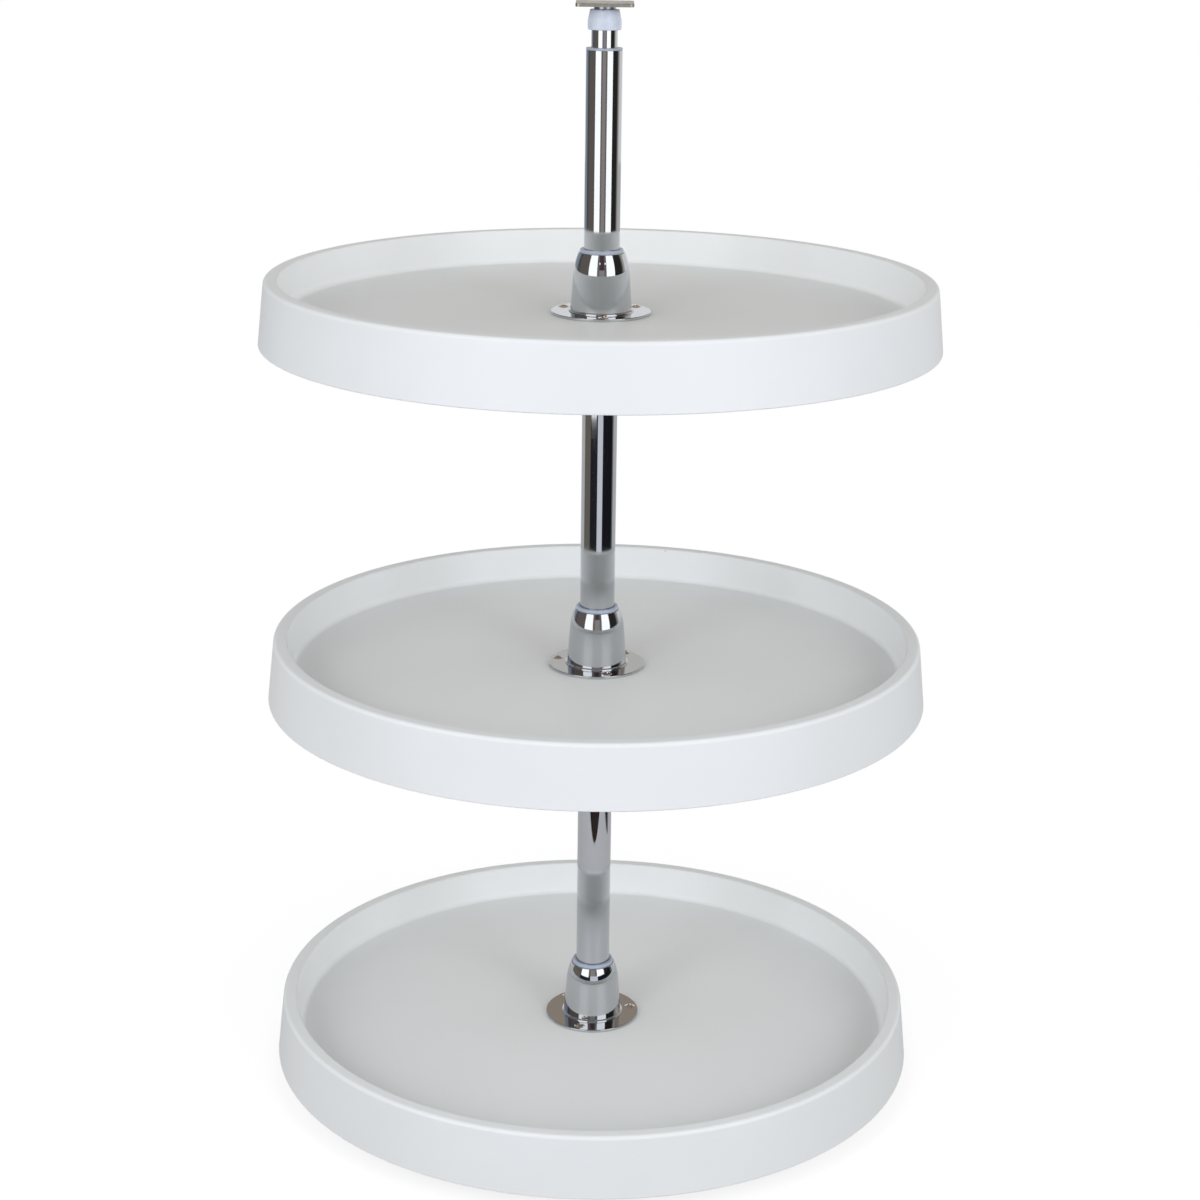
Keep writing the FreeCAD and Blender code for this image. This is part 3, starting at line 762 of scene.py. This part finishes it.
def makeSurroundings():
    # what the chrome mirrors: dark studio cloth beyond a pale table, and pale paper behind.
    # azimuth 0 is towards the camera and 90 is to the right, in degrees; lengths here are in metres
    wall, split, shoulder, ceiling = 1.7, 0.29, 0.95, 3.2
    tableSides = {2: 0.454, 104: 0.469, -88: 0.62}  # the way that each side faces, and its distance

    def tableEdge(azimuth):
        reaches = [wall]
        for facing, distance in tableSides.items():
            along = math.cos(azimuth - math.radians(facing))
            if along > 0.05:
                reaches.append(distance / along)
        return min(reaches)

    # what lies over another sheet stands a little above or before it
    lowLevel, stripeLevel = 0.001, 0.002
    stripeStart, stripeWall, spotWall = 1.0, wall - 0.002, wall - 0.01
    low = [(tableEdge, lowLevel), (wall, lowLevel), (wall, split)]
    stripe = [(stripeStart, stripeLevel), (stripeWall, stripeLevel), (stripeWall, split)]
    high = [(wall, split), (wall, ceiling)]
    middle = [(wall, split), (wall, shoulder)]
    above = [(wall, shoulder), (wall, ceiling)]
    spots = [(spotWall, 1.28), (spotWall, 1.4)]
    sheets = {
        "cloth01": {"from": -150, "to": -119, "seen": "#757C84", "points": high},
        "cloth02": {"from": -119, "to": -101, "seen": "#46474A", "points": high},
        "cloth03": {"from": -101, "to": -15, "seen": "#56504B", "points": high},
        "cloth04": {"from": -15, "to": -9, "seen": "#645D5A", "points": high},
        "cloth05": {"from": -9, "to": 12, "seen": "#7D7876", "points": middle},
        "cloth16": {"from": -9, "to": 12, "seen": "#3E3537", "points": above},
        "spotLeft": {"from": -9.5, "to": -5.5, "seen": "#F8F8F8", "points": spots},
        "spotRight": {"from": 13.5, "to": 18.5, "seen": "#F8F8F8", "points": spots},
        "cloth06": {"from": 12, "to": 19, "seen": "#645D5A", "points": high},
        "cloth07": {"from": 19, "to": 94, "seen": "#232220", "points": high},
        "cloth08": {"from": 94, "to": 102, "seen": "#555250", "points": high},
        "cloth09": {"from": 102, "to": 113, "seen": "#918E8A", "points": high},
        "cloth10": {"from": -107, "to": -58, "seen": "#5C5850", "points": low},
        "cloth11": {"from": -58, "to": -12, "seen": "#1E1F22", "points": low},
        "cloth12": {"from": -12, "to": 26, "seen": "#2A2320", "points": low},
        "cloth13": {"from": -10, "to": 24, "seen": "#B8BAC2", "points": stripe},
        "cloth14": {"from": 26, "to": 95, "seen": "#15151A", "points": low},
        "cloth15": {"from": 95, "to": 106, "seen": "#5D5D5D", "points": low},
    }
    for name, look in sheets.items():
        reflectionSheet(name, look)
    reach, top = 1.5, 2.3
    softboxes = {
        "softboxLeft": {"from": -54, "to": -18, "bottom": 0.193},
        "softboxRight": {"from": 21, "to": 57, "bottom": 0.235},
    }
    for name, look in softboxes.items():
        reflectionSheet(name, look | {"seen": "#FFFFFF", "points": [(reach, look["bottom"]), (reach, top)]})
    far = 6.0
    rise = [(far, far * math.tan(math.radians(angle))) for angle in (0.01, 19, 24, 58)]
    reflectionSheet("backPaper", {"from": 113, "to": 247, "seen": "#BDBDBE", "points": rise[:2]})
    reflectionSheet("backPaperTop", {"from": 113, "to": 210, "seen": "#A5A3A0", "points": rise[1:3]})
    reflectionSheet("backWall", {"from": 113, "to": 210, "seen": "#80766C", "points": rise[2:]})
    roof = [(far, rise[3][1]), (0.01, rise[3][1])]
    reflectionSheet("roof", {"from": -180, "to": 180, "seen": "#8A8682", "points": roof})
    print("surroundings made")


def makeLamp(name, look):
    # a soft panel that faces the pole; the chrome sees the softbox sheets instead
    data = bpy.data.lights.new(name, "AREA")
    data.shape = "RECTANGLE"
    data.size = look["width"]
    data.size_y = look["top"] - look["bottom"]
    data.energy = look["radiance"] * math.pi * data.size * data.size_y
    data.color = look["colour"]
    lamp = bpy.data.objects.new(name, data)
    azimuth = math.radians(look["azimuth"])
    height = (look["top"] + look["bottom"]) / 2
    lamp.location = (look["reach"] * math.sin(azimuth), -look["reach"] * math.cos(azimuth), height)
    lamp.rotation_euler = (math.radians(90), 0, azimuth)
    lamp.visible_camera = False
    lamp.visible_glossy = False
    scene.collection.objects.link(lamp)


def makeLight():
    # two softboxes beside the camera, and a pale room; both are for diffuse light alone, because
    # the chrome sees the sheets
    lamp = {
        "reach": 1.5, "width": 0.5, "bottom": 0.22, "top": 1.37,
        "radiance": 3.5, "colour": (0.94, 0.98, 1.11),
    }
    makeLamp("lampLeft", lamp | {"azimuth": -36})
    makeLamp("lampRight", lamp | {"azimuth": 39})
    world = bpy.data.worlds.new("paleStudio")
    scene.world = world
    world.use_nodes = True
    tree = world.node_tree
    tree.nodes.clear()
    path = addNode(tree, "ShaderNodeLightPath", {}, {})
    shiny = addNode(tree, "ShaderNodeMath", {"operation": "MAXIMUM"},
                    {0: path.outputs["Is Camera Ray"], 1: path.outputs["Is Glossy Ray"]})
    direct = addNode(tree, "ShaderNodeMath", {"operation": "MAXIMUM"},
                     {0: shiny.outputs[0], 1: path.outputs["Is Transmission Ray"]})
    white = addNode(tree, "ShaderNodeBackground", {"Color": (1, 1, 1, 1), "Strength": 1.0}, {})
    # brightest about 25 degrees up, dark overhead, and dimmer low down and behind the shelves; From
    # is a sine of the angle upwards or backwards, and To is the light there
    sky = {
        "rise": {"From Min": 0.05, "From Max": 0.4, "To Min": 0.5, "To Max": 1.0},
        "fall": {"From Min": 0.45, "From Max": 0.92, "To Min": 1.2, "To Max": 0.05},
        "back": {"From Min": 0.3, "From Max": 0.85, "To Min": 1.28, "To Max": 0.4},
        "colour": (0.99, 1.0, 0.985, 1),
    }
    way = addNode(tree, "ShaderNodeTexCoord", {}, {})
    parts = addNode(tree, "ShaderNodeSeparateXYZ", {}, {"Vector": way.outputs["Generated"]})
    rise = addNode(tree, "ShaderNodeMapRange", sky["rise"], {"Value": parts.outputs["Z"]})
    fall = addNode(tree, "ShaderNodeMapRange", sky["fall"], {"Value": parts.outputs["Z"]})
    back = addNode(tree, "ShaderNodeMapRange", sky["back"], {"Value": parts.outputs["Y"]})
    upright = addNode(tree, "ShaderNodeMath", {"operation": "MULTIPLY"},
                      {0: rise.outputs[0], 1: fall.outputs[0]})
    level = addNode(tree, "ShaderNodeMath", {"operation": "MULTIPLY"},
                    {0: upright.outputs[0], 1: back.outputs[0]})
    room = addNode(tree, "ShaderNodeBackground", {"Color": sky["colour"]}, {"Strength": level.outputs[0]})
    both = addNode(tree, "ShaderNodeMixShader", {},
                   {0: direct.outputs[0], 1: room.outputs[0], 2: white.outputs[0]})
    addNode(tree, "ShaderNodeOutputWorld", {}, {"Surface": both.outputs[0]})
    print("light made")


def makeFloor():
    # a pale table that reads as plain white to the camera and keeps a faint shadow; from below
    # it lets the camera through
    look = {
        "reach": 40.0, "drop": 0.0004, "colour": "#9B9A9C", "bounce": "#686868",
        "cameraGlow": 0.8, "mirrorGlow": 0.38,
    }
    material = bpy.data.materials.new("paleTable")
    material.use_nodes = True
    tree = material.node_tree
    shader = tree.nodes["Principled BSDF"]
    shader.inputs["Specular IOR Level"].default_value = 0.0  # it shows no mirror image of the shelves
    path = addNode(tree, "ShaderNodeLightPath", {}, {})
    colour = addNode(tree, "ShaderNodeMix",
                     {"data_type": "RGBA", 6: toLinear(look["colour"]), 7: toLinear(look["bounce"])},
                     {0: path.outputs["Is Diffuse Ray"]})
    tree.links.new(colour.outputs[2], shader.inputs["Base Color"])
    mirrors = addNode(tree, "ShaderNodeMath", {"operation": "MAXIMUM"},
                      {0: path.outputs["Is Glossy Ray"], 1: path.outputs["Is Transmission Ray"]})
    faint = addNode(tree, "ShaderNodeMath", {"operation": "MULTIPLY", 1: look["mirrorGlow"]},
                    {0: mirrors.outputs[0]})
    glow = addNode(tree, "ShaderNodeMath", {"operation": "MULTIPLY_ADD", 1: look["cameraGlow"]},
                   {0: path.outputs["Is Camera Ray"], 2: faint.outputs[0]})
    tree.links.new(glow.outputs[0], shader.inputs["Emission Strength"])
    shader.inputs["Emission Color"].default_value = (1, 1, 1, 1)
    back = addNode(tree, "ShaderNodeNewGeometry", {}, {})
    clear = addNode(tree, "ShaderNodeBsdfTransparent", {}, {})
    away = addNode(tree, "ShaderNodeMath", {"operation": "MULTIPLY"},
                   {0: back.outputs["Backfacing"], 1: path.outputs["Is Camera Ray"]})
    both = addNode(tree, "ShaderNodeMixShader", {},
                   {0: away.outputs[0], 1: shader.outputs[0], 2: clear.outputs[0]})
    tree.links.new(both.outputs[0], tree.nodes["Material Output"].inputs["Surface"])
    material.cycles.emission_sampling = "NONE"
    mesh = bmesh.new()
    bmesh.ops.create_circle(mesh, cap_ends=True, segments=64, radius=look["reach"])
    bmesh.ops.translate(mesh, verts=mesh.verts, vec=(0, 0, -look["drop"]))
    data = bpy.data.meshes.new("paleTable")
    mesh.to_mesh(data)
    mesh.free()
    data.materials.append(material)
    table = bpy.data.objects.new("paleTable", data)
    scene.collection.objects.link(table)


def makeCamera():
    # fitted to the edges of the trays and the pole in the photograph
    view = {
        "back": 1763.5, "height": 919.2, "pitch": 17.24, "roll": 0.756, "yaw": 0.068,
        "focal": 2388.9, "picture": 1200,  # both in the photo's pixels
    }
    data = bpy.data.cameras.new("camera")
    data.sensor_width = 36.0
    data.lens = view["focal"] / view["picture"] * data.sensor_width
    camera = bpy.data.objects.new("camera", data)
    turn = Matrix.Rotation(math.radians(-view["yaw"]), 4, "Z")
    turn = turn @ Matrix.Rotation(math.radians(90 - view["pitch"]), 4, "X")
    turn = turn @ Matrix.Rotation(math.radians(view["roll"]), 4, "Z")
    place = Matrix.Translation((0, -view["back"] * mm, view["height"] * mm + bottomOf("lower_tray")))
    camera.matrix_world = place @ turn
    scene.collection.objects.link(camera)
    scene.camera = camera


makeSurroundings()
makeLight()
makeFloor()
makeCamera()
scene.view_settings.view_transform = "Standard"
